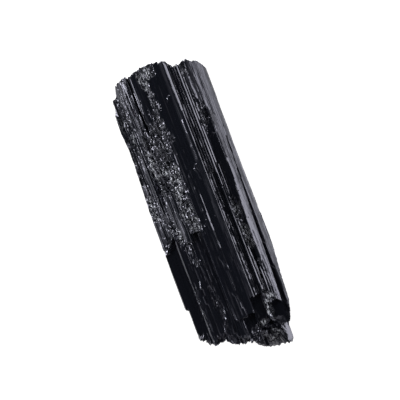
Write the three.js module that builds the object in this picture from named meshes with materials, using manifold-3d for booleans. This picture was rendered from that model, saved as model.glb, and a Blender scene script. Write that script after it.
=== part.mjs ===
// A black tourmaline (schorl) crystal, about 77 mm long, lying on its flattest side.
//
// It is one natural solid: parallel prisms that grew side by side and joined. So its section is a rounded
// block with ridges and grooves that run its whole length, and both ends are broken across the prisms,
// each prism at its own length. Layers have flaked off its upper side, and the -Y end has lost a corner.
//
// Millimetres, +Z up. Y is the prisms' own axis, X runs across them, and the origin is under the middle of
// the crystal, on the surface it rests on.

import * as THREE from "three";
import { mergeVertices } from "three/addons/utils/BufferGeometryUtils.js";
import Module from "manifold-3d";

const wasm = await Module();
wasm.setup();

// Driving dimensions.
const HALF_LENGTH = 38;
const HEIGHT = 18.6;
const PAST = 6; // how far a cutting tool runs past what it cuts
const LOW_END = -HALF_LENGTH - PAST; // of the tools that run past the crystal's ends
const HIGH_END = HALF_LENGTH + PAST;
const PRISM_SPACING = 3.1; // between the axes of neighbouring prisms
const PRISM_RADIUS = 2.75; // over a prism's corners, large enough that neighbours overlap
const PRISM_ROWS = 8;
const PRISMS_EACH_SIDE = 5; // of the middle one, in a row
const AXIS_UNEVENNESS = 0.3; // how far a prism's axis is off the lattice
const END_UNEVENNESS = 1.6; // how much one prism's break differs from the next one's
const UPPER_UNEVENNESS = 0.6; // the same for the prisms of the upper side, whose ends are worn even
const UPPER_FROM = 13; // the height at which the upper side's prisms start
const END_ALLOWANCE = 0.8; // how far the upper prisms would reach past the outline, where it cuts them off
const END_SLOPE = 0.45; // the steepest slope of one prism's break
const ROUNDED_END_LEAN = 0.16; // how much further back it is for each millimetre below ROUNDED_END_TOP
const ROUNDED_END_TOP = 14;
const CHIPPED_END_LEAN = 0.12;
const CHIPPED_END_TOP = 8;
const SLANT_FROM = 8.5; // the height above which the chipped end's middle is broken at 45 degrees
const UNDERSIDE_HALF_WIDTH = 8.2;
const REST_HALF_WIDTH = 4.6; // of the underside's flat middle, without grooves
const GROOVE_DEPTH = 0.35; // of the grooves between the ribs on the sides that have no larger features
const SCHORL_BLACK = 0x0b0c10;

// The crystal's outline seen from above, as [x, y] points anticlockwise from its lower left corner.
const CHIPPED_END = [
  [-12.5, -29.4], [-12.2, -30.5], [-11.1, -31], [-10.4, -32.3], [-8, -32.7], [-6.2, -32.4], [-4.8, -34],
  [-2, -34.8], [0.4, -35], [1, -36.8], [2.4, -37.8], [4.8, -38.5], [9, -38.5], [9.7, -37.7],
];
const RIGHT_EDGE = [
  [9.9, -36.6], [9.9, -34], [10.2, -33.3], [10.8, -32.2], [11.6, -29.4], [12.1, -28], [12.4, -23],
  [12.9, -18], [13.3, -12], [13.4, -6], [13.5, 31.4],
];
const ROUNDED_END = [
  [13.4, 32.2], [12.7, 33.6], [11.6, 34.9], [9.8, 35.4], [9.3, 36.2], [8.4, 36.2], [7.4, 35.7], [6.4, 35.4],
  [5.4, 35.7], [5, 36.6], [4.3, 37.5], [2.6, 37.9], [0.3, 38.3], [-0.8, 38.3], [-3.6, 37.8], [-5.9, 37.1],
  [-6.3, 37.4], [-8.6, 36.9], [-9.3, 36.4], [-10, 34.4], [-11.3, 33.3], [-11.6, 30.1],
];
const LEFT_EDGE = [
  [-12.1, 29.2], [-12.2, 24.6], [-11.9, 20.4], [-12.5, 8], [-13, 0.4], [-13.2, -21.8], [-12.4, -22.4],
];

// A repeatable random number from 0 up to 1.
function randomFrom(seed) {
  let state = seed;
  return () => {
    state = (state * 1664525 + 1013904223) % 4294967296;
    return state / 4294967296;
  };
}

// A line through [x, y] points, read at x.
function heightAt(points, x) {
  const line = [...points].sort((a, b) => a[0] - b[0]);
  const next = line.findIndex(([px]) => px > x);
  if (next === 0) return line[0][1];
  if (next < 0) return line[line.length - 1][1];
  const [[x0, y0], [x1, y1]] = [line[next - 1], line[next]];
  return THREE.MathUtils.mapLinear(x, x0, x1, y0, y1);
}

function solid(geometry) {
  const bare = geometry.clone();
  bare.deleteAttribute("normal");
  bare.deleteAttribute("uv");
  const merged = mergeVertices(bare, 1e-4);
  return new wasm.Manifold(
    new wasm.Mesh({
      numProp: 3,
      vertProperties: merged.getAttribute("position").array,
      triVerts: new Uint32Array(merged.index.array),
    }),
  );
}

function joined(solids) {
  return solids.reduce((all, one) => all.add(one));
}

// An [x, z] outline run along Y. Its ends slope by endSlopes: [x, z] slopes at the low and the high end.
function prism(outline, from, to, endSlopes = [[0, 0], [0, 0]]) {
  const shape = new THREE.Shape(outline.map(([x, z]) => new THREE.Vector2(x, z)));
  const geometry = new THREE.ExtrudeGeometry(shape, { depth: to - from, bevelEnabled: false });
  geometry.rotateX(Math.PI / 2).translate(0, to, 0);
  const total = shape.getPoints().reduce((sum, point) => sum.add(point), new THREE.Vector2());
  const middle = total.divideScalar(outline.length);
  const position = geometry.getAttribute("position");
  for (let i = 0; i < position.count; i++) {
    const [slopeX, slopeZ] = endSlopes[position.getY(i) > (from + to) / 2 ? 1 : 0];
    const rise = slopeX * (position.getX(i) - middle.x) + slopeZ * (position.getZ(i) - middle.y);
    position.setY(i, position.getY(i) + rise);
  }
  return solid(geometry);
}

// A box with its lower face's middle at a point, turned about Y by tilt degrees and then about Z by turn
// degrees, for what has flaked off above it.
function slab([x, y, z], [width, length, height], tilt = 0, turn = 0) {
  const geometry = new THREE.BoxGeometry(width, length, height);
  geometry.translate(0, 0, height / 2).rotateY(THREE.MathUtils.degToRad(tilt));
  geometry.rotateZ(THREE.MathUtils.degToRad(turn)).translate(x, y, z);
  return solid(geometry);
}

// A groove that starts at a point and widens along its length is a long four-sided cone.
function taperingGroove(tip, end, width, depth) {
  const way = new THREE.Vector3(...end).sub(new THREE.Vector3(...tip));
  const length = way.length();
  const geometry = new THREE.ConeGeometry(Math.SQRT1_2, length, 4);
  geometry.rotateY(Math.PI / 4).scale(width, 1, 2 * depth);
  geometry.translate(0, -length / 2, 0);
  const down = new THREE.Vector3(0, -1, 0);
  geometry.applyQuaternion(new THREE.Quaternion().setFromUnitVectors(down, way.normalize()));
  return solid(geometry.translate(...tip));
}

// A hollow left by a chip: an [x, y] outline as seen from above, cut down to a flat floor tilted about Y.
function chip(outline, floor, tilt) {
  const shape = new THREE.Shape(outline.map(([x, y]) => new THREE.Vector2(x, y)));
  const geometry = new THREE.ExtrudeGeometry(shape, { depth: PAST, bevelEnabled: false });
  const [[x]] = outline;
  geometry.translate(-x, 0, 0).rotateY(THREE.MathUtils.degToRad(tilt)).translate(x, 0, floor);
  return solid(geometry);
}

// Points along a straight side from a to b, with V grooves pressed in at uneven steps, so that the crowns
// of the ribs between them stay on the line.
function ribbed([ax, az], [bx, bz], ribs, random) {
  const points = [[ax, az]];
  const [dx, dz] = [bx - ax, bz - az];
  const length = Math.hypot(dx, dz);
  const inward = [-dz / length, dx / length];
  const half = 0.22 / ribs;
  for (let i = 1; i < ribs; i++) {
    const at = (i + 0.5 * (random() - 0.5)) / ribs;
    const depth = GROOVE_DEPTH * (0.5 + random());
    points.push([ax + dx * (at - half), az + dz * (at - half)]);
    points.push([ax + dx * at + inward[0] * depth, az + dz * at + inward[1] * depth]);
    points.push([ax + dx * (at + half), az + dz * (at + half)]);
  }
  return points;
}

// The section, anticlockwise as seen from the -Y end, with X to the right and Z up.
function sectionOutline() {
  const random = randomFrom(7);
  const underside = [
    ...ribbed([-UNDERSIDE_HALF_WIDTH, 0], [-REST_HALF_WIDTH, 0], 2, random),
    ...ribbed([REST_HALF_WIDTH, 0], [UNDERSIDE_HALF_WIDTH, 0], 2, random),
  ];
  const rightSide = [
    ...ribbed([UNDERSIDE_HALF_WIDTH, 0], [10.8, 4], 3, random),
    ...ribbed([10.8, 4], [13.4, 9.8], 4, random),
    [13.4, 9.8],
    [13.4, 12.4],
    [13.2, 13.8],
  ];
  const lobe = [[12.5, 14.7], [10.3, 17]];
  const ridgedStrip = [
    [7.6, 17.5], [7.35, 17.5], [7.2, 17.75], [7.05, 17.55], [6.5, 18.05], [6.2, 17.6], [5.9, 17.85],
    [5.55, 17.6], [5.2, 17.9], [4.9, 17.65], [4.55, 18], [4.4, 17.8], [4.3, 18.15], [3.8, 18.6],
    [2.6, 18.25],
  ];
  const smoothFace = [[0.9, 18.2], [0.4, 18.3], [-0.8, 18.2]];
  const crest = [[-1.4, 18.4], [-2.1, 18.3], [-2.4, 17.7]];
  const upperLeft = [
    [-5.5, 17.4], [-6.3, 17], [-6.5, 17.1], [-7.2, 16.6], [-7.4, 16.8], [-8.1, 16.1], [-8.3, 15.5],
    [-9, 15.2], [-9.5, 14.4], [-10.9, 13.3], [-11.2, 13.5], [-12.1, 12.9], [-12.9, 12.6], [-13.1, 12],
  ];
  const leftSide = [
    ...ribbed([-13.1, 9.4], [-11.3, 5], 3, random),
    ...ribbed([-11.3, 5], [-UNDERSIDE_HALF_WIDTH, 0], 4, random),
  ];
  const upperSide = [...lobe, ...ridgedStrip, ...smoothFace, ...crest, ...upperLeft];
  return [...underside, ...rightSide, ...upperSide, ...leftSide];
}

// How far one prism reaches towards each end. Both ends lean back below the upper side. The corner between
// the middle and the right-hand face is broken at a slant, so that its upper prisms are the shortest.
function reachOf(x, z) {
  const { smoothstep } = THREE.MathUtils;
  const slant = smoothstep(x, 0, 3) * (1 - smoothstep(x, 7, 9.5)) * Math.max(0, z - SLANT_FROM);
  const roundedEndLean = ROUNDED_END_LEAN * Math.max(0, ROUNDED_END_TOP - z);
  const chippedEndLean = CHIPPED_END_LEAN * Math.max(0, CHIPPED_END_TOP - z);
  return {
    to: heightAt(ROUNDED_END, x) + END_ALLOWANCE - roundedEndLean,
    from: heightAt(CHIPPED_END, x) - END_ALLOWANCE + slant + chippedEndLean,
  };
}

// The prisms of the bundle: six-sided, on a lattice that is a little uneven. Each has its own length and
// its own breaks.
function prismBundle() {
  const random = randomFrom(11);
  const spread = (amount) => amount * (2 * random() - 1);
  const rowGap = (PRISM_SPACING * Math.sqrt(3)) / 2;
  const prisms = [];
  for (let row = 0; row < PRISM_ROWS; row++) {
    for (let column = -PRISMS_EACH_SIDE; column <= PRISMS_EACH_SIDE; column++) {
      const x = (column + (row % 2) / 2) * PRISM_SPACING + spread(AXIS_UNEVENNESS);
      const z = row * rowGap + spread(AXIS_UNEVENNESS);
      const turn = random() * Math.PI;
      const outline = [0, 1, 2, 3, 4, 5].map((corner) => {
        const angle = turn + (corner * Math.PI) / 3;
        return [x + PRISM_RADIUS * Math.cos(angle), z + PRISM_RADIUS * Math.sin(angle)];
      });
      const { from, to } = reachOf(x, z);
      const unevenness = z > UPPER_FROM ? UPPER_UNEVENNESS : END_UNEVENNESS;
      const slopes = [[spread(END_SLOPE), spread(END_SLOPE)], [spread(END_SLOPE), spread(END_SLOPE)]];
      prisms.push(prism(outline, from + unevenness * random(), to - unevenness * random(), slopes));
    }
  }
  return joined(prisms);
}

// What has broken or flaked off, and the grooves that begin part of the way along.
function losses() {
  return joined([
    // A layer has flaked off the lower left of the upper side. It broke at a different place in each prism.
    slab([-8.6, -22, 15.2], [3.4, 34, 4], -8),
    slab([-6.1, -23, 16.3], [2.4, 33, 4], -5),
    slab([-3.6, -21.6, 16.5], [2.7, 34, 4], -4),
    // Along the left edge a thicker one has gone, down to a level ledge that ends in a slanting break.
    prism([[-14.4, 12], [-9.4, 12.2], [-9.3, 20], [-14.4, 20]], LOW_END, -5, [[0, 0], [0.9, 0.5]]),
    // Short lengths of the ridges beside it have gone too.
    slab([-0.9, -34.6, 17.6], [3, 13, 4]),
    slab([1.2, -34.4, 17], [3.2, 13, 4], 6),
    slab([4.35, -31.6, 16.8], [2.9, 15, 4], 4),
    // The narrow ridges between its two tallest ones are worn down over the -Y half.
    slab([5.3, -18, 17.62], [1.9, 52, 4], 6),
    // The groove beside the smooth right-hand face starts as a sliver, and so does the one in that face.
    prism([[7.7, 16.7], [10, 16.8], [10.1, 20], [7.5, 20]], -9.6, 24, [[12, 0], [3.5, 2]]),
    taperingGroove([12.2, 19, 15], [10.4, -38, 16.5], 1.3, 1.4),
    // Two facets bevel the edge between the upper side and that face, one towards each end.
    slab([10.25, -20, 16.45], [2.9, 60, 4], 30, -1.2),
    prism([[7.4, 17.6], [11.4, 15.9], [12, 20], [7.4, 20]], 24, HIGH_END, [[-2, 0], [0, 0]]),
    // A deep straight groove between two ribs at the +Y end.
    slab([-5.75, 31.5, 16.2], [0.5, 18, 4]),
    // The corner's hollow, and the low top and slanting face of the lump beyond it.
    chip([[6.9, -27.2], [6.9, -33.4], [10.4, -33.6], [10.6, -28.4], [9.3, -26.7]], 15.8, -5),
    slab([7.4, -36.6, 13.2], [7.4, 7, 8]),
    slab([9.5, -36.6, 12.15], [3.4, 7, 10], 34),
  ]);
}

// The outline seen from above, as an upright block.
function planBlock() {
  const outline = [...CHIPPED_END, ...RIGHT_EDGE, ...ROUNDED_END, ...LEFT_EDGE];
  const shape = new THREE.Shape(outline.map(([x, y]) => new THREE.Vector2(x, y)));
  const geometry = new THREE.ExtrudeGeometry(shape, { depth: HEIGHT + 2 * PAST, bevelEnabled: false });
  return solid(geometry.translate(0, 0, -PAST));
}

const grownFaces = prism(sectionOutline(), LOW_END, HIGH_END);
const crystal = grownFaces.intersect(planBlock()).intersect(prismBundle()).subtract(losses());

function geometryOf(manifold) {
  const { vertProperties, triVerts } = manifold.getMesh();
  const geometry = new THREE.BufferGeometry();
  geometry.setAttribute("position", new THREE.BufferAttribute(vertProperties, 3));
  geometry.setIndex(new THREE.BufferAttribute(triVerts, 1));
  return geometry;
}

const largest = crystal.decompose().reduce((a, b) => (a.volume() > b.volume() ? a : b));
const geometry = geometryOf(largest);
geometry.computeBoundingBox();
const middle = geometry.boundingBox.getCenter(new THREE.Vector3());
geometry.translate(-middle.x, -middle.y, -geometry.boundingBox.min.z);
geometry.computeVertexNormals();

const schorl = new THREE.MeshStandardMaterial({ color: SCHORL_BLACK, roughness: 0.3, metalness: 0 });
const mesh = new THREE.Mesh(geometry, schorl);
mesh.name = "tourmaline_crystal";

const part = new THREE.Group();
part.add(mesh);
export default part;
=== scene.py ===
# A black tourmaline (schorl) crystal: one rod of parallel prisms, lying on its flattest side.
# Metres, +Z up. Y runs along the prisms, and X across them.

import math

import bpy
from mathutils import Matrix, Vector


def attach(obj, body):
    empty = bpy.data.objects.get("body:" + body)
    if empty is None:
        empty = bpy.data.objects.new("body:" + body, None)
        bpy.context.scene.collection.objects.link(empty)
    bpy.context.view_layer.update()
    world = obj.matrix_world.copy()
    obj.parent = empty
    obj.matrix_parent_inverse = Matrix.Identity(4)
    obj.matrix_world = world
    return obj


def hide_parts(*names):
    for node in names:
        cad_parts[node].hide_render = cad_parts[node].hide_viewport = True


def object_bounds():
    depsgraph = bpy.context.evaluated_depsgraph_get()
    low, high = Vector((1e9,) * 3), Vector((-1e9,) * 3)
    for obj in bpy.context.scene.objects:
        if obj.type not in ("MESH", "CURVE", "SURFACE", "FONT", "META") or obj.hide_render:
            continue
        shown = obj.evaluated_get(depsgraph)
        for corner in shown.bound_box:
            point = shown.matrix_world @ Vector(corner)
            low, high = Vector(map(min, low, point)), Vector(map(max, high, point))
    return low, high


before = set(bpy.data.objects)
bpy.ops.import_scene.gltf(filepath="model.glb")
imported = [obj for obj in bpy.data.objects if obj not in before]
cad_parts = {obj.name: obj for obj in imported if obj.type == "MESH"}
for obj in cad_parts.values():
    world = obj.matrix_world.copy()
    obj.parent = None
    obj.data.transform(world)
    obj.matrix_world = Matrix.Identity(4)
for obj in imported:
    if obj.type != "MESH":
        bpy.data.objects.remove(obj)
frame_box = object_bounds()

# ---------------------------------------------------------------------------------------------------------
# The crystal.
# Schorl, the iron-rich black tourmaline, has a glassy lustre. It grew as a bundle of parallel prisms, which
# rib its faces. Both ends broke across the prisms, and where outer layers flaked off it is granular.

FORM = "tourmaline_crystal"
MM = 0.001
guides = []


def placed(name, data):
    """A new object in the scene, at the origin."""
    made = bpy.data.objects.new(name, data)
    bpy.context.scene.collection.objects.link(made)
    return made


def lines(name, paths):
    """A guide, removed at the end: bare edges along paths, which are lists of (x, y) in millimetres."""
    points, edges = [], []
    for path in paths:
        edges += [(len(points) + i, len(points) + i + 1) for i in range(len(path) - 1)]
        points += [(x * MM, y * MM, 0) for x, y in path]
    mesh = bpy.data.meshes.new(name)
    mesh.from_pydata(points, edges, [])
    guides.append(placed(name, mesh))
    return guides[-1]


# Where layers flaked off and left granular rock, seen from above: the middle line of each patch.
granular_wide = lines("granular_wide", [
    [(-5.35, 23.15), (-4.95, 18.15), (-5.15, 13.15)], [(-3.75, 22.15), (-4.55, 12.15), (-3.95, 6.15)],
    [(-6.95, 21.15), (-7.05, 8.15)],
])
granular_narrow = lines("granular_narrow", [
    [(-2.05, 37.15), (-2.35, 33.15), (-1.75, 28.15), (-2.35, 24.15), (-1.55, 19.15)],
    [(-10.15, 33.15), (-10.15, 28.15), (-9.95, 24.15)], [(-10.05, 23.15), (-10.15, 19.15)],
    [(8.45, 24.15), (8.75, 21.65), (8.05, 19.95)], [(7.65, 36.15), (7.65, 33.15)],
    [(7.9, -0.35), (7.75, -4.85)], [(7.45, -25.55), (7.85, -26.25)], [(-8.95, -0.85), (-8.05, -5.45)],
    [(-6.65, -6.65), (-6.25, -11.65)], [(-12.05, 28.15), (-12.15, 12.15)],
    [(-12.75, -6.65), (-11.35, -5.65), (-9.95, -4.15)], [(-5.35, -18.85), (-4.75, -24.85), (-5.05, -25.85)],
    [(-9.45, -16.85), (-9.25, -27.85)], [(0.15, 37.55), (0.25, 35.95)], [(6.85, -24.35), (6.35, -30.85)],
    [(3.15, -30.85), (6.35, -30.35)], [(4.35, -35.35), (7.15, -36.35)], [(-4.15, 5.65), (-3.75, -3.85)],
])

# Where it is crushed finest, and so the palest. Some of these lines are painted highlights: the brightest
# glints, drawn as pale dust.
crushed = lines("crushed", [
    [(-4.85, 12.15), (-4.35, 9.15), (-4.45, 6.55)], [(-2.95, 11.95), (-3.15, 9.15), (-3.55, 6.95)],
    [(-4.55, 6.15), (-4.45, 3.55)], [(-3.25, 2.95), (-3.05, 0.95)], [(-4.95, 0.95), (-4.95, -0.65)],
    [(-2.95, -1.35), (-3.05, -2.05)], [(-3.95, -3.05), (-2.85, -3.45)], [(-6.75, 12.35), (-6.05, 12.15)],
    [(-12.15, 7.35), (-12.25, 4.15), (-11.75, 2.15)], [(-2.95, 36.15), (-2.45, 33.15)],
    [(-0.95, 37.35), (-0.95, 35.35)], [(7.75, -1.85), (7.75, -3.65)], [(7.85, -7.45), (8.05, -12.05)],
    [(6.45, -26.65), (6.35, -29.35)], [(-10.15, 22.75), (-10.05, 21.95)], [(-8.15, -2.85), (-8.05, -5.25)],
    [(7.75, -25.25), (8.25, -25.85)], [(3.35, -31.05), (4.35, -30.65)], [(5.65, -34.15), (6.85, -35.15)],
    [(3.85, -35.85), (5.65, -36.35)], [(-7.95, 17.35), (-8.05, 14.15), (-8.05, 11.75)],
])

# The broken rims of the upper side: splintered at the -Y end, and only worn at the +Y end.
chipped_edge = lines("chipped_edge", [
    [(-12.45, -29.65), (-10.55, -31.65), (-6.75, -32.05), (-4.95, -33.45), (0.25, -34.65), (0.85, -36.25),
     (3.25, -37.35)],
    [(1.85, -33.35), (4.85, -32.35), (7.15, -32.65)],
])
worn_edge = lines("worn_edge", [
    [(-12.15, 29.15), (-11.55, 33.15), (-10.15, 34.35), (-9.15, 36.55), (-6.15, 37.15), (-0.45, 38.35),
     (4.05, 37.55), (5.15, 35.75), (6.85, 35.55), (8.85, 36.15)],
])

# The edges of single prisms that stand above the faces, clearly or only just.
ribs = lines("ribs", [
    [(-11.85, 29.15), (-11.75, 22.65)], [(-9.5, 24.15), (-9.55, 2.55)], [(-8.9, 14.15), (-8.85, 4.65)],
    [(-8.45, 36.15), (-8.45, 24.15)], [(-7.85, 33.15), (-7.75, 17.65)], [(-7.15, 35.95), (-7.15, 29.15)],
    [(-6.65, 36.75), (-6.75, 27.15)], [(-6.3, 32.15), (-6.25, 21.15)], [(-5.5, 36.75), (-5.45, 27.15)],
    [(4, 24.15), (3.95, 8.15), (3.95, -23.85)], [(6.5, 36.15), (6.55, 4.15)], [(6.4, 3.15), (6.5, -21.85)],
    [(4.6, 25.65), (4.6, 8.65)], [(5.25, 35.85), (5.25, 8.65)], [(5.95, 35.35), (5.95, 8.65)],
    [(11.65, -18.85), (11.55, -27.85)],
])
faint_ribs = lines("faint_ribs", [
    [(-11.35, 22.15), (-11.25, 12.15)], [(-10.75, 18.15), (-10.75, 11.15)], [(-2.55, 24.15), (-2.55, 15.95)],
    [(-1.75, 18.15), (-2.05, 16.75)], [(-0.35, 8.55), (-0.35, -0.25)], [(0.35, -0.85), (0.35, -9.85)],
    [(-3.35, -9.85), (-3.3, -24.85)], [(-2.15, -4.85), (-2.15, -15.85), (-1.95, -26.85)],
    [(-9.25, -1.85), (-9.25, -28.85)], [(-0.55, -12.15), (0.75, -16.25)], [(2.05, -11.85), (2.05, -21.85)],
    [(0.2, -15.85), (0.15, -20.85)], [(3.15, 22.15), (3.15, 12.15)], [(4.55, -12.85), (4.6, -23.85)],
    [(7.6, 26.15), (7.55, 13.15)], [(5.95, -13.85), (5.85, -28.85)],
    [(8.9, -5.85), (8.85, -14.85), (8.45, -19.85)], [(-5.25, -12.85), (-4.95, -18.85)],
    [(-6.35, -6.85), (-6.35, -12.35)], [(-4.45, -12.85), (-4.35, -16.85)], [(7.25, -14.85), (7.05, -23.85)],
    [(7.95, -16.85), (7.85, -25.85)], [(8.45, -18.85), (8.45, -25.85)],
])

# Slivers and small ledges that the breaks left.
slivers = lines("slivers", [
    [(-7.95, 17.55), (-8.05, 14.15), (-8.05, 11.65)], [(0.55, -25.85), (0.5, -27.85)],
    [(-0.55, -21.45), (0, -22.45), (0.1, -25.25), (-0.05, -27.65)], [(-1.85, -27.75), (0.25, -27.65)],
    [(-4.15, -26.85), (-4.95, -28.05), (-5.55, -29.65)], [(-3.35, -28.85), (-3.55, -30.65)],
    [(-1.85, -26.65), (-1.75, -27.85)], [(-0.85, -28.45), (-0.95, -31.85)],
    [(-7.05, -16.45), (-7.35, -17.75)], [(-7.45, -20.05), (-7.35, -21.65)],
    [(3.35, -30.25), (4.85, -29.75), (6.85, -29.35)],
    [(2.85, -31.85), (4.85, -31.05), (6.45, -30.45)], [(-1.45, 27.35), (-0.95, 28.55)],
    [(1.35, 27.55), (1.65, 28.45), (2.15, 28.75)], [(8.35, 16.15), (8.95, 16.55)],
    [(2.25, 10.95), (1.75, 10.15), (2.25, 9.15), (2.35, 7.55)], [(-2.15, 15.75), (-2.05, 12.35)],
    [(10.25, -27.45), (10.75, -28.85), (10.45, -30.85)], [(6.25, -33.45), (6.85, -34.85), (6.45, -35.85)],
    [(4.25, -32.25), (5.65, -32.45)], [(3.45, -35.25), (5.05, -34.85)], [(2.25, -32.65), (4.25, -31.55)],
    [(2.75, -27.25), (3.15, -28.95)], [(4.55, -33.35), (5.65, -33.05), (6.45, -33.65)],
    [(7.25, -33.35), (7.85, -34.65), (8.15, -36.35)],
])

# Faces that grew and are still whole, without pits.
unbroken = lines("unbroken", [
    [(-8.15, 37), (-8.15, 21.5)], [(-6.45, 37), (-6.45, 23)], [(0.8, 32), (0.8, 21)], [(1.6, 14), (1.6, 3)],
    [(-6.35, 4.85), (-6.15, -5.85)],
])

# Where the worn ridges show fine ribs.
finely_ribbed = lines("finely_ribbed", [
    [(5.35, 7.85), (5.35, -23.65)], [(8.05, -16.65), (8.05, -24.65)], [(7.15, 8.85), (7.05, 0.15)],
    [(8.95, -33.65), (8.95, -37.65)],
])

tree = bpy.data.node_groups.new("growth", "GeometryNodeTree")
tree.interface.new_socket("Geometry", in_out="OUTPUT", socket_type="NodeSocketGeometry")
GROWTH_INPUTS = {"Form": "NodeSocketObject", "Relief": "NodeSocketFloat", "Vertices across": "NodeSocketInt",
                 "Vertices along": "NodeSocketInt", "Vertices up": "NodeSocketInt"}
identifiers = {name: tree.interface.new_socket(name, in_out="INPUT", socket_type=kind).identifier
               for name, kind in GROWTH_INPUTS.items()}


def add(tree, kind, inputs=None, **settings):
    """A new node with these settings. Each input takes a value or another node's output.

    In a Map Range, inputs 1 and 2 are the ends of the range read, and 3 and 4 are what they become.
    """
    made = tree.nodes.new(kind)
    for name, value in settings.items():
        setattr(made, name, value)
    for key, value in (inputs or {}).items():
        if isinstance(value, bpy.types.NodeSocket):
            tree.links.new(value, made.inputs[key])
        else:
            made.inputs[key].default_value = value
    return made


# A box of vertices, well outside the crystal, is drawn in onto its form along rays that end on a plate in its
# middle.
low, high = (Vector(corner) for corner in frame_box)
MIDDLE = (low + high) / 2
HALF_BOX = Vector((19.4, 50, 17.6)) * MM
HALF_PLATE = Vector((7, 26, 1)) * MM
LONGEST_RAY = 0.2
given = add(tree, "NodeGroupInput").outputs
box = add(tree, "GeometryNodeMeshCube", {
    "Size": (2, 2, 2), "Vertices X": given["Vertices across"], "Vertices Y": given["Vertices along"],
    "Vertices Z": given["Vertices up"],
}).outputs["Mesh"]
place = add(tree, "GeometryNodeInputPosition").outputs[0]
outer = add(tree, "ShaderNodeVectorMath", {0: place, 1: HALF_BOX, 2: MIDDLE},
            operation="MULTIPLY_ADD").outputs[0]
inner = add(tree, "ShaderNodeVectorMath", {0: place, 1: HALF_PLATE, 2: MIDDLE},
            operation="MULTIPLY_ADD").outputs[0]
apart = add(tree, "ShaderNodeVectorMath", {0: inner, 1: outer}, operation="SUBTRACT").outputs[0]
inward = add(tree, "ShaderNodeVectorMath", {0: apart}, operation="NORMALIZE").outputs[0]
form = add(tree, "GeometryNodeObjectInfo", {"Object": given["Form"]}).outputs["Geometry"]
hit = add(tree, "GeometryNodeRaycast", {
    "Target Geometry": form, "Source Position": outer, "Ray Direction": inward, "Ray Length": LONGEST_RAY,
}).outputs
kept = box
for name, value in (("inward", inward), ("facing", hit["Hit Normal"])):
    kept = add(tree, "GeometryNodeStoreNamedAttribute", {"Geometry": kept, "Name": name, "Value": value},
               data_type="FLOAT_VECTOR", domain="POINT").outputs[0]
drawn_in = add(tree, "GeometryNodeSetPosition", {
    "Geometry": kept, "Position": hit["Hit Position"],
}).outputs[0]

# From here on, places and depths inward are in millimetres. The way that a face looks tells whether it is on
# an end, on a slanting break, on the upper side or underneath. Breaks along the rims fade below RIM_HEIGHTS.
RIM_HEIGHTS = (7, 12)
at = add(tree, "ShaderNodeVectorMath", {0: place, "Scale": 1 / MM}, operation="SCALE").outputs[0]
axes = add(tree, "ShaderNodeSeparateXYZ", {0: at}).outputs
facing = add(tree, "GeometryNodeInputNamedAttribute", {"Name": "facing"},
             data_type="FLOAT_VECTOR").outputs[0]
facing_axes = add(tree, "ShaderNodeSeparateXYZ", {0: facing}).outputs
endward = add(tree, "ShaderNodeMath", {0: facing_axes[1]}, operation="ABSOLUTE").outputs[0]
on_end = add(tree, "ShaderNodeMapRange", {0: endward, 1: 0.5, 2: 0.75}).outputs[0]
off_slant = add(tree, "ShaderNodeMapRange", {0: endward, 1: 0.12, 2: 0.25, 3: 1, 4: 0.35}).outputs[0]
upward = add(tree, "ShaderNodeMapRange", {0: facing_axes[2], 1: 0.1, 2: 0.4}).outputs[0]
not_under = add(tree, "ShaderNodeMapRange", {0: facing_axes[2], 1: -0.95, 2: -0.8}).outputs[0]
near_rim = add(tree, "ShaderNodeMapRange", {
    0: axes[2], 1: RIM_HEIGHTS[0], 2: RIM_HEIGHTS[1], 3: 0.25, 4: 1,
}).outputs[0]
near_rim = add(tree, "ShaderNodeMath", {0: near_rim, 1: not_under}, operation="MULTIPLY").outputs[0]


def clouds(across, along, detail=3):
    """Soft noise from 0 to 1, with this many blots to a millimetre across the prisms and along them."""
    drawn_out = add(tree, "ShaderNodeVectorMath", {0: at, 1: (across, along, across)}, operation="MULTIPLY")
    return add(tree, "ShaderNodeTexNoise", {
        "Vector": drawn_out.outputs[0], "Scale": 1, "Detail": detail, "Roughness": 0.6,
    }).outputs[0]


# The edges of every patch are ragged along the prisms.
ragged = add(tree, "ShaderNodeMath", {0: clouds(1.1, 0.3), 1: 0.5}, operation="SUBTRACT").outputs[0]
from_above = add(tree, "ShaderNodeVectorMath", {0: place, 1: (1, 1, 0)}, operation="MULTIPLY").outputs[0]


def patch(guide, near, far, raggedness=1, side=upward):
    """1 within near millimetres of a guide's lines, seen from above, and 0 past far, on one side only."""
    drawn = add(tree, "GeometryNodeObjectInfo", {"Object": guide}).outputs["Geometry"]
    distance = add(tree, "GeometryNodeProximity", {"Geometry": drawn, "Sample Position": from_above},
                   target_element="EDGES").outputs["Distance"]
    wobbling = add(tree, "ShaderNodeMath", {0: ragged, 1: raggedness * (far - near) * MM, 2: distance},
                   operation="MULTIPLY_ADD").outputs[0]
    within = add(tree, "ShaderNodeMapRange", {
        0: wobbling, 1: near * MM, 2: far * MM, 3: 1, 4: 0,
    }).outputs[0]
    return add(tree, "ShaderNodeMath", {0: within, 1: side}, operation="MULTIPLY").outputs[0]


def strongest(*marks):
    """The strongest of several marks at each place."""
    found = marks[0]
    for mark in marks[1:]:
        found = add(tree, "ShaderNodeMath", {0: found, 1: mark}, operation="MAXIMUM").outputs[0]
    return found


# Under the layer that is lost, on the left towards the -Y end, everything is fainter.
LOST_LAYER_ENDS = (-8, -4)
LOST_LAYER_EDGE = (2, 5)
outer_layer = add(tree, "ShaderNodeMapRange", {
    0: axes[1], 1: LOST_LAYER_ENDS[0], 2: LOST_LAYER_ENDS[1], 3: 0.35, 4: 1,
}).outputs[0]
right_side = add(tree, "ShaderNodeMapRange", {
    0: axes[0], 1: LOST_LAYER_EDGE[0], 2: LOST_LAYER_EDGE[1],
}).outputs[0]
outer_layer = strongest(outer_layer, right_side)

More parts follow.
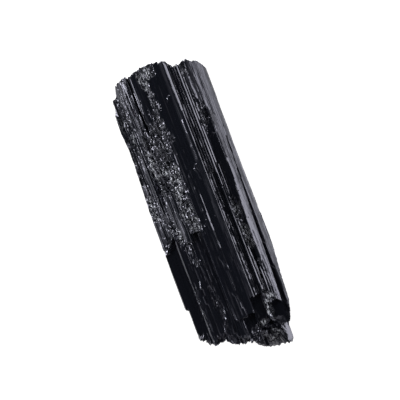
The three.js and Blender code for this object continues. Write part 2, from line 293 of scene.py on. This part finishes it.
# The marks that the lines make. Worn edges are less broken than chipped ones.
wide = patch(granular_wide, near=0.7, far=2, raggedness=3)
narrow = patch(granular_narrow, near=0.2, far=1, raggedness=3)
narrow = add(tree, "ShaderNodeMath", {0: narrow, 1: outer_layer}, operation="MULTIPLY").outputs[0]
# The palest marks: crushed dust, and also painted highlights where glints are drawn as pale dust.
palest_dust_and_glints = patch(crushed, near=0.35, far=1, raggedness=2)
rib = patch(ribs, near=0.1, far=0.34)
faint_rib = patch(faint_ribs, near=0.1, far=0.34)
sliver = patch(slivers, near=0.12, far=0.42)
whole = patch(unbroken, near=0.9, far=1.5)
chipped = patch(chipped_edge, near=0.1, far=2.2, side=near_rim)
worn = patch(worn_edge, near=0, far=0.6, side=near_rim)
slightly_worn = add(tree, "ShaderNodeMath", {0: worn, 1: 0.4}, operation="MULTIPLY").outputs[0]
broken = strongest(chipped, slightly_worn)
slightly_broken = add(tree, "ShaderNodeMath", {0: broken, 1: 0.5}, operation="MULTIPLY").outputs[0]

# How striated, how satin and how pitted each strip of the upper side is, from the left edge (0) to the right
# one (1): (place, striated, satin, pitted).
STRIPS = [
    (0, 0.8, 0.3, 0.5), (0.13, 0.7, 0.3, 0.6), (0.16, 1, 0.3, 0.7), (0.23, 1, 0.3, 0.5),
    (0.26, 0.5, 0.2, 1), (0.41, 0.5, 0.2, 1), (0.43, 0.3, 0, 0.4), (0.6, 0.3, 0, 0.3), (0.62, 0.2, 0.3, 0.3),
    (0.76, 0.2, 0.3, 0.3), (0.79, 0.3, 0.1, 0.5), (0.87, 0.1, 0.3, 0.3), (0.9, 0.4, 1, 0), (1, 0.6, 1, 0),
]
STRIPS_REACH = 13.2
LEDGE = (-7, -6)
across = add(tree, "ShaderNodeMapRange", {0: axes[0], 1: -STRIPS_REACH, 2: STRIPS_REACH}).outputs[0]
ramp = add(tree, "ShaderNodeValToRGB", {0: across})
for i, (stop, *strengths) in enumerate(STRIPS):
    point = ramp.color_ramp.elements[i] if i < 2 else ramp.color_ramp.elements.new(stop)
    point.position = stop
    point.color = (*strengths, 1)
strip = add(tree, "ShaderNodeSeparateXYZ", {0: ramp.outputs[0]}).outputs
past_ledge = add(tree, "ShaderNodeMapRange", {0: axes[0], 1: LEDGE[0], 2: LEDGE[1]}).outputs[0]
above = add(tree, "ShaderNodeMath", {0: strip[0], 1: strongest(outer_layer, past_ledge)},
            operation="MULTIPLY").outputs[0]
striated = add(tree, "ShaderNodeMix", {0: upward, 2: 1.2, 3: above}).outputs[0]
fine_ribs = add(tree, "ShaderNodeMath", {0: patch(finely_ribbed, near=0.6, far=1.2), 1: 0.8},
                operation="MULTIPLY").outputs[0]
striated = strongest(striated, fine_ribs)
striated = add(tree, "ShaderNodeMath", {0: striated, 1: strongest(off_slant, on_end)},
               operation="MULTIPLY").outputs[0]
satin = add(tree, "ShaderNodeMix", {0: upward, 2: 0.5, 3: strip[1]}).outputs[0]
pitted = add(tree, "ShaderNodeMix", {0: upward, 2: 0.4, 3: strip[2]}).outputs[0]

# Prisms of three widths, each at a level of its own that changes where the prism broke, with grooves between
# them: (prism width, piece length, step, groove depth), in millimetres. APART keeps the widths out of step.
PRISMS = [(2.6, 30, 0.22, 0.12), (1.15, 17, 0.16, 0.12), (0.55, 11, 0.07, 0.08)]
GROOVE_SHARE = 0.16
APART = Vector((3.7, 9.1, 0))
section = add(tree, "ShaderNodeCombineXYZ", {0: axes[0], 1: axes[2]}).outputs[0]
depth = add(tree, "ShaderNodeValue").outputs[0]
for i, (width, length, step, groove) in enumerate(PRISMS):
    scaled = add(tree, "ShaderNodeVectorMath", {0: section, "Scale": 1 / width},
                 operation="SCALE").outputs[0]
    shifted = add(tree, "ShaderNodeVectorMath", {0: scaled, 1: i * APART}, operation="ADD").outputs[0]
    cell = add(tree, "ShaderNodeTexVoronoi", {"Vector": shifted, "Scale": 1},
               voronoi_dimensions="2D").outputs
    chance = add(tree, "ShaderNodeSeparateXYZ", {0: cell["Color"]}).outputs[0]
    run = add(tree, "ShaderNodeMath", {0: axes[1], 1: 1 / length, 2: chance},
              operation="MULTIPLY_ADD").outputs[0]
    piece = add(tree, "ShaderNodeMath", {0: run}, operation="FLOOR").outputs[0]
    level = add(tree, "ShaderNodeTexWhiteNoise", {"Vector": cell["Color"], "W": piece},
                noise_dimensions="4D").outputs[0]
    edge = add(tree, "ShaderNodeTexVoronoi", {"Vector": shifted, "Scale": 1}, voronoi_dimensions="2D",
               feature="DISTANCE_TO_EDGE").outputs["Distance"]
    groove_here = add(tree, "ShaderNodeMapRange", {0: edge, 2: GROOVE_SHARE, 3: groove, 4: 0}).outputs[0]
    loss = add(tree, "ShaderNodeMath", {0: level, 1: step, 2: groove_here},
               operation="MULTIPLY_ADD").outputs[0]
    depth = add(tree, "ShaderNodeMath", {0: loss, 1: depth}, operation="ADD").outputs[0]
depth = add(tree, "ShaderNodeMath", {0: depth, 1: striated}, operation="MULTIPLY").outputs[0]


def facets(stretch, size, steepness, steps, least=0):
    """The depth of broken faces: cells of this size, each one a tilted plane at a level of its own."""
    scaled = add(tree, "ShaderNodeVectorMath", {0: at, 1: [s / size for s in stretch]},
                 operation="MULTIPLY").outputs[0]
    cell = add(tree, "ShaderNodeTexVoronoi", {"Vector": scaled, "Scale": 1}).outputs
    from_middle = add(tree, "ShaderNodeVectorMath", {0: scaled, 1: cell["Position"]},
                      operation="SUBTRACT").outputs[0]
    tilt = add(tree, "ShaderNodeVectorMath", {0: cell["Color"], 1: (0.5, 0.5, 0.5)},
               operation="SUBTRACT").outputs[0]
    rise = add(tree, "ShaderNodeVectorMath", {0: from_middle, 1: tilt},
               operation="DOT_PRODUCT").outputs["Value"]
    chance = add(tree, "ShaderNodeSeparateXYZ", {0: cell["Color"]}).outputs[0]
    level = add(tree, "ShaderNodeMath", {0: chance, 1: steps, 2: least},
                operation="MULTIPLY_ADD").outputs[0]
    both = add(tree, "ShaderNodeMath", {0: rise, 1: size * steepness, 2: level},
               operation="MULTIPLY_ADD").outputs[0]
    return add(tree, "ShaderNodeMath", {0: both, 1: 0}, operation="MAXIMUM").outputs[0]


# Where it flaked or was crushed, the surface is small flat grains, each tilted its own way.
coarse_grains = facets((1, 0.5, 1), size=0.8, steepness=1.7, steps=0.34, least=0.2)
fine_grains = facets((1, 0.8, 1), size=0.45, steepness=1.1, steps=0.12, least=0.1)
grains = add(tree, "ShaderNodeMath", {0: coarse_grains, 1: fine_grains}, operation="ADD").outputs[0]
where_grainy = strongest(wide, narrow, palest_dust_and_glints, slightly_broken)
depth = add(tree, "ShaderNodeMath", {0: grains, 1: where_grainy, 2: depth},
            operation="MULTIPLY_ADD").outputs[0]

# On the ends every small prism has a flat break of its own.
breaks = facets((1, 0.5, 1), size=1.3, steepness=0.65, steps=0.35)
breaks = add(tree, "ShaderNodeMath", {0: fine_grains, 1: 0.35, 2: breaks},
             operation="MULTIPLY_ADD").outputs[0]
depth = add(tree, "ShaderNodeMath", {0: breaks, 1: on_end, 2: depth}, operation="MULTIPLY_ADD").outputs[0]
slightly_on_end = add(tree, "ShaderNodeMath", {0: on_end, 1: 0.3}, operation="MULTIPLY").outputs[0]

# Small pits are scattered in drifts along the prisms, but not on whole faces.
drift = add(tree, "ShaderNodeMapRange", {0: clouds(0.9, 0.25), 1: 0.52, 2: 0.68}).outputs[0]
not_whole = add(tree, "ShaderNodeMath", {0: 1.0, 1: whole}, operation="SUBTRACT").outputs[0]
pits_here = drift
for limit in (pitted, outer_layer, not_whole):
    pits_here = add(tree, "ShaderNodeMath", {0: pits_here, 1: limit}, operation="MULTIPLY").outputs[0]
depth = add(tree, "ShaderNodeMath", {0: fine_grains, 1: pits_here, 2: depth},
            operation="MULTIPLY_ADD").outputs[0]
where_rough = strongest(where_grainy, pits_here, slightly_on_end)

# Dust and painted glints: crushed grains are palest, and the other grainy patches are pale here and there.
# Part of this paleness is painted highlight, standing in for glints on the grains.
dusty = add(tree, "ShaderNodeMapRange", {
    0: clouds(0.55, 0.14), 1: 0.44, 2: 0.6, 3: 0.02, 4: 0.32,
}).outputs[0]
for limit in (strongest(wide, narrow), outer_layer):
    dusty = add(tree, "ShaderNodeMath", {0: dusty, 1: limit}, operation="MULTIPLY").outputs[0]
dusty = strongest(dusty, palest_dust_and_glints)

# Along both rims the upper side has broken away in splinters, deeper towards the edge.
splinters = facets((1, 0.6, 1), size=1.6, steepness=1.3, steps=0.8, least=0.1)
depth = add(tree, "ShaderNodeMath", {0: splinters, 1: broken, 2: depth},
            operation="MULTIPLY_ADD").outputs[0]

# The whole surface is uneven and worn, less so underneath. The ribs and slivers stand above it.
uneven = add(tree, "ShaderNodeMapRange", {
    0: clouds(0.5, 0.1, detail=4), 1: 0.3, 2: 0.8, 3: 0.12, 4: 0.32,
}).outputs[0]
depth = add(tree, "ShaderNodeMath", {0: depth, 1: uneven}, operation="ADD").outputs[0]
faintly = add(tree, "ShaderNodeMath", {0: faint_rib, 1: 0.45}, operation="MULTIPLY").outputs[0]
fairly = add(tree, "ShaderNodeMath", {0: sliver, 1: 0.75}, operation="MULTIPLY").outputs[0]
below_ribs = add(tree, "ShaderNodeMapRange", {0: strongest(rib, faintly, fairly), 3: 1, 4: 0.2}).outputs[0]
rougher_above = add(tree, "ShaderNodeMapRange", {0: not_under, 3: 0.3, 4: 1}).outputs[0]
for limit in (below_ribs, rougher_above, given["Relief"], MM):
    depth = add(tree, "ShaderNodeMath", {0: depth, 1: limit}, operation="MULTIPLY").outputs[0]
way = add(tree, "GeometryNodeInputNamedAttribute", {"Name": "inward"}, data_type="FLOAT_VECTOR").outputs[0]
offset = add(tree, "ShaderNodeVectorMath", {0: way, "Scale": depth}, operation="SCALE").outputs[0]
marked = drawn_in
for name, value in (("rough", where_rough), ("dusty", dusty), ("satin", satin)):
    marked = add(tree, "GeometryNodeStoreNamedAttribute", {"Geometry": marked, "Name": name, "Value": value},
                 data_type="FLOAT", domain="POINT").outputs[0]
grown = add(tree, "GeometryNodeSetPosition", {"Geometry": marked, "Offset": offset}).outputs[0]


def linear(hex_colour):
    """An sRGB hex colour, such as "808080", as linear red, green, blue and opacity."""
    channels = [int(hex_colour[i : i + 2], 16) / 255 for i in (0, 2, 4)]
    return [c / 12.92 if c <= 0.04045 else ((c + 0.055) / 1.055) ** 2.4 for c in channels] + [1.0]


# Schorl, as it grew and as it broke. Its iron takes nearly all light, so the faces are black and what shows
# is their glassy reflection, with pale dust where it is crushed; some pale spots and flecks are painted
# glints.
# Real striae and grains go finer than these, which are as coarse as they need to be to show.
STONE = "101218"
DUST_AND_GLINT = "c0c3ca"
REFLECTION = "ececff"
STRIAE_PER_MM = (2.2, 0.07, 2.2)
GRAINS_PER_MM = 2.6
CLUMPS_PER_MM = (2.3, 1.1, 2.3)
STRIA_DEPTH = 0.04
schorl = bpy.data.materials.new("black_schorl")
schorl.use_nodes = True
look = schorl.node_tree
look.nodes.clear()
here = add(look, "ShaderNodeTexCoord").outputs["Object"]
rough_here = add(look, "ShaderNodeAttribute", attribute_name="rough").outputs["Fac"]
dust_and_glints_here = add(look, "ShaderNodeAttribute", attribute_name="dusty").outputs["Fac"]
satin_here = add(look, "ShaderNodeAttribute", attribute_name="satin").outputs["Fac"]
stretched = add(look, "ShaderNodeMapping", {
    "Vector": here, "Scale": [n / MM for n in STRIAE_PER_MM],
}).outputs[0]
striae = add(look, "ShaderNodeTexNoise", {
    "Vector": stretched, "Scale": 1, "Detail": 1, "Roughness": 0.5,
}).outputs[0]
speckle = add(look, "ShaderNodeTexNoise", {
    "Vector": here, "Scale": GRAINS_PER_MM / MM, "Detail": 2, "Roughness": 0.6,
}).outputs[0]
height = add(look, "ShaderNodeMix", {0: rough_here, 2: striae, 3: speckle}).outputs[0]
bump = add(look, "ShaderNodeBump", {
    "Height": height, "Strength": 1, "Distance": STRIA_DEPTH * MM,
}).outputs[0]
gathered = add(look, "ShaderNodeMapping", {
    "Vector": here, "Scale": [n / MM for n in CLUMPS_PER_MM],
}).outputs[0]
clumps = add(look, "ShaderNodeTexNoise", {
    "Vector": gathered, "Scale": 1, "Detail": 4, "Roughness": 0.7,
}).outputs[0]
flecks = add(look, "ShaderNodeMapRange", {0: clumps, 1: 0.49, 2: 0.6}).outputs[0]
pale_flecks_and_glints = add(look, "ShaderNodeMath", {0: flecks, 1: dust_and_glints_here}, operation="MULTIPLY").outputs[0]
# The stone is mixed towards a pale colour in flecks: crushed dust, and partly painted highlights for glints.
colour = add(look, "ShaderNodeMix", {0: pale_flecks_and_glints, 6: linear(STONE), 7: linear(DUST_AND_GLINT)},
             data_type="RGBA").outputs[2]
satin_gloss = add(look, "ShaderNodeMapRange", {0: satin_here, 3: 0.13, 4: 0.36}).outputs[0]
gloss = add(look, "ShaderNodeMix", {0: rough_here, 2: satin_gloss, 3: 0.12}).outputs[0]
surface = add(look, "ShaderNodeBsdfPrincipled", {
    "Base Color": colour, "Roughness": gloss, "IOR": 1.64, "Specular Tint": linear(REFLECTION),
    "Normal": bump,
}).outputs[0]
add(look, "ShaderNodeOutputMaterial", {"Surface": surface})

real = add(tree, "GeometryNodeRealizeInstances", {"Geometry": grown}).outputs[0]
finished = add(tree, "GeometryNodeSetMaterial", {"Geometry": real, "Material": schorl}).outputs[0]
add(tree, "NodeGroupOutput", {0: finished})

# The form is a copy of the CAD solid with its vertices joined, so that its faces meet.
form_copy = placed("form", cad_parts[FORM].data.copy())
form_copy.modifiers.new("weld", "WELD").merge_threshold = 1e-6

# The grown mesh is thinned, because its long flat faces need few triangles. Faces that meet at more than
# CRISP degrees keep a sharp edge.
VERTICES = {"Vertices across": 160, "Vertices along": 390, "Vertices up": 56}
KEPT_SHARE = 0.5
CRISP = 15
grower = placed("grower", bpy.data.meshes.new("grower"))
grows = grower.modifiers.new("growth", "NODES")
grows.node_group = tree
for name, value in {"Form": form_copy, "Relief": 1.0, **VERTICES}.items():
    grows[identifiers[name]] = value
grower.modifiers.new("thinned", "DECIMATE").ratio = KEPT_SHARE
mesh = bpy.data.meshes.new_from_object(grower.evaluated_get(bpy.context.evaluated_depsgraph_get()))
mesh.name = "tourmaline"
mesh.shade_smooth()
mesh.set_sharp_from_angle(angle=math.radians(CRISP))
crystal = placed("tourmaline", mesh)
for helper in (grower, form_copy, *guides):
    bpy.data.objects.remove(helper)

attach(crystal, "root")
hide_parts(FORM)

# ---------------------------------------------------------------------------------------------------------
# The surroundings.
# A white table in a room that is dark overhead, so that level faces stay black, with soft lamps round it.

FLOOR_REACH = 3.0
FLOOR_DROP = 0.0002
floor_mesh = bpy.data.meshes.new("floor")
corners = [(x * FLOOR_REACH, y * FLOOR_REACH, 0) for x, y in ((-1, -1), (1, -1), (1, 1), (-1, 1))]
floor_mesh.from_pydata(corners, [], [(0, 1, 2, 3)])
floor = placed("floor", floor_mesh)
floor.location.z = -FLOOR_DROP
paper = bpy.data.materials.new("paper")
paper.use_nodes = True
sheet = paper.node_tree.nodes["Principled BSDF"].inputs
sheet["Base Color"].default_value = linear("e0e0e0")
sheet["Roughness"].default_value = 1
sheet["Specular IOR Level"].default_value = 0
sheet["Emission Color"].default_value = (1, 1, 1, 1)
seen = add(paper.node_tree, "ShaderNodeLightPath").outputs["Is Camera Ray"]
glow = add(paper.node_tree, "ShaderNodeMapRange", {0: seen, 3: 0.25, 4: 0.75}).outputs[0]
paper.node_tree.links.new(glow, sheet["Emission Strength"])
floor_mesh.materials.append(paper)

world = bpy.data.worlds.new("room")
bpy.context.scene.world = world
world.use_nodes = True
room = world.node_tree
room.nodes.clear()
seen = add(room, "ShaderNodeLightPath").outputs["Is Camera Ray"]
direction = add(room, "ShaderNodeTexCoord").outputs["Generated"]
overhead = add(room, "ShaderNodeSeparateXYZ", {0: direction}).outputs[2]
dark_above = add(room, "ShaderNodeMapRange", {0: overhead, 1: 0.4, 2: 0.9, 3: 0.8, 4: 0.015}).outputs[0]
light = add(room, "ShaderNodeMix", {0: seen, 2: dark_above, 3: 1}).outputs[0]
walls = add(room, "ShaderNodeBackground", {"Color": (1, 1, 1, 1), "Strength": light}).outputs[0]
add(room, "ShaderNodeOutputWorld", {"Surface": walls})


def soft_lamp(name, place, size, watts):
    """A square lamp at a place, facing the crystal's middle."""
    lamp = bpy.data.lights.new(name, "AREA")
    lamp.shape = "SQUARE"
    lamp.size = size
    lamp.energy = watts
    made = placed(name, lamp)
    made.location = place
    made.rotation_euler = (Vector((0, 0, 10)) * MM - Vector(place)).to_track_quat("-Z", "Y").to_euler()


soft_lamp("right", place=(0.9, 0, 0.3), size=0.6, watts=5.4)
soft_lamp("left", place=(-0.85, 0.28, 0.3), size=0.4, watts=8.5)
soft_lamp("back", place=(0.1, 0.9, 0.5), size=0.4, watts=3)

# The camera looks straight down, turned so that the crystal leans in the picture.
LENS = 166.5
CAMERA_PLACE = (0.0001, 0.00259, 0.465)
LEAN = 21
camera_data = bpy.data.cameras.new("camera")
camera_data.lens = LENS
camera_data.clip_start = 0.01
camera = placed("camera", camera_data)
camera.location = CAMERA_PLACE
camera.rotation_euler.z = -math.radians(LEAN)
bpy.context.scene.camera = camera
bpy.context.scene.view_settings.view_transform = "Standard"
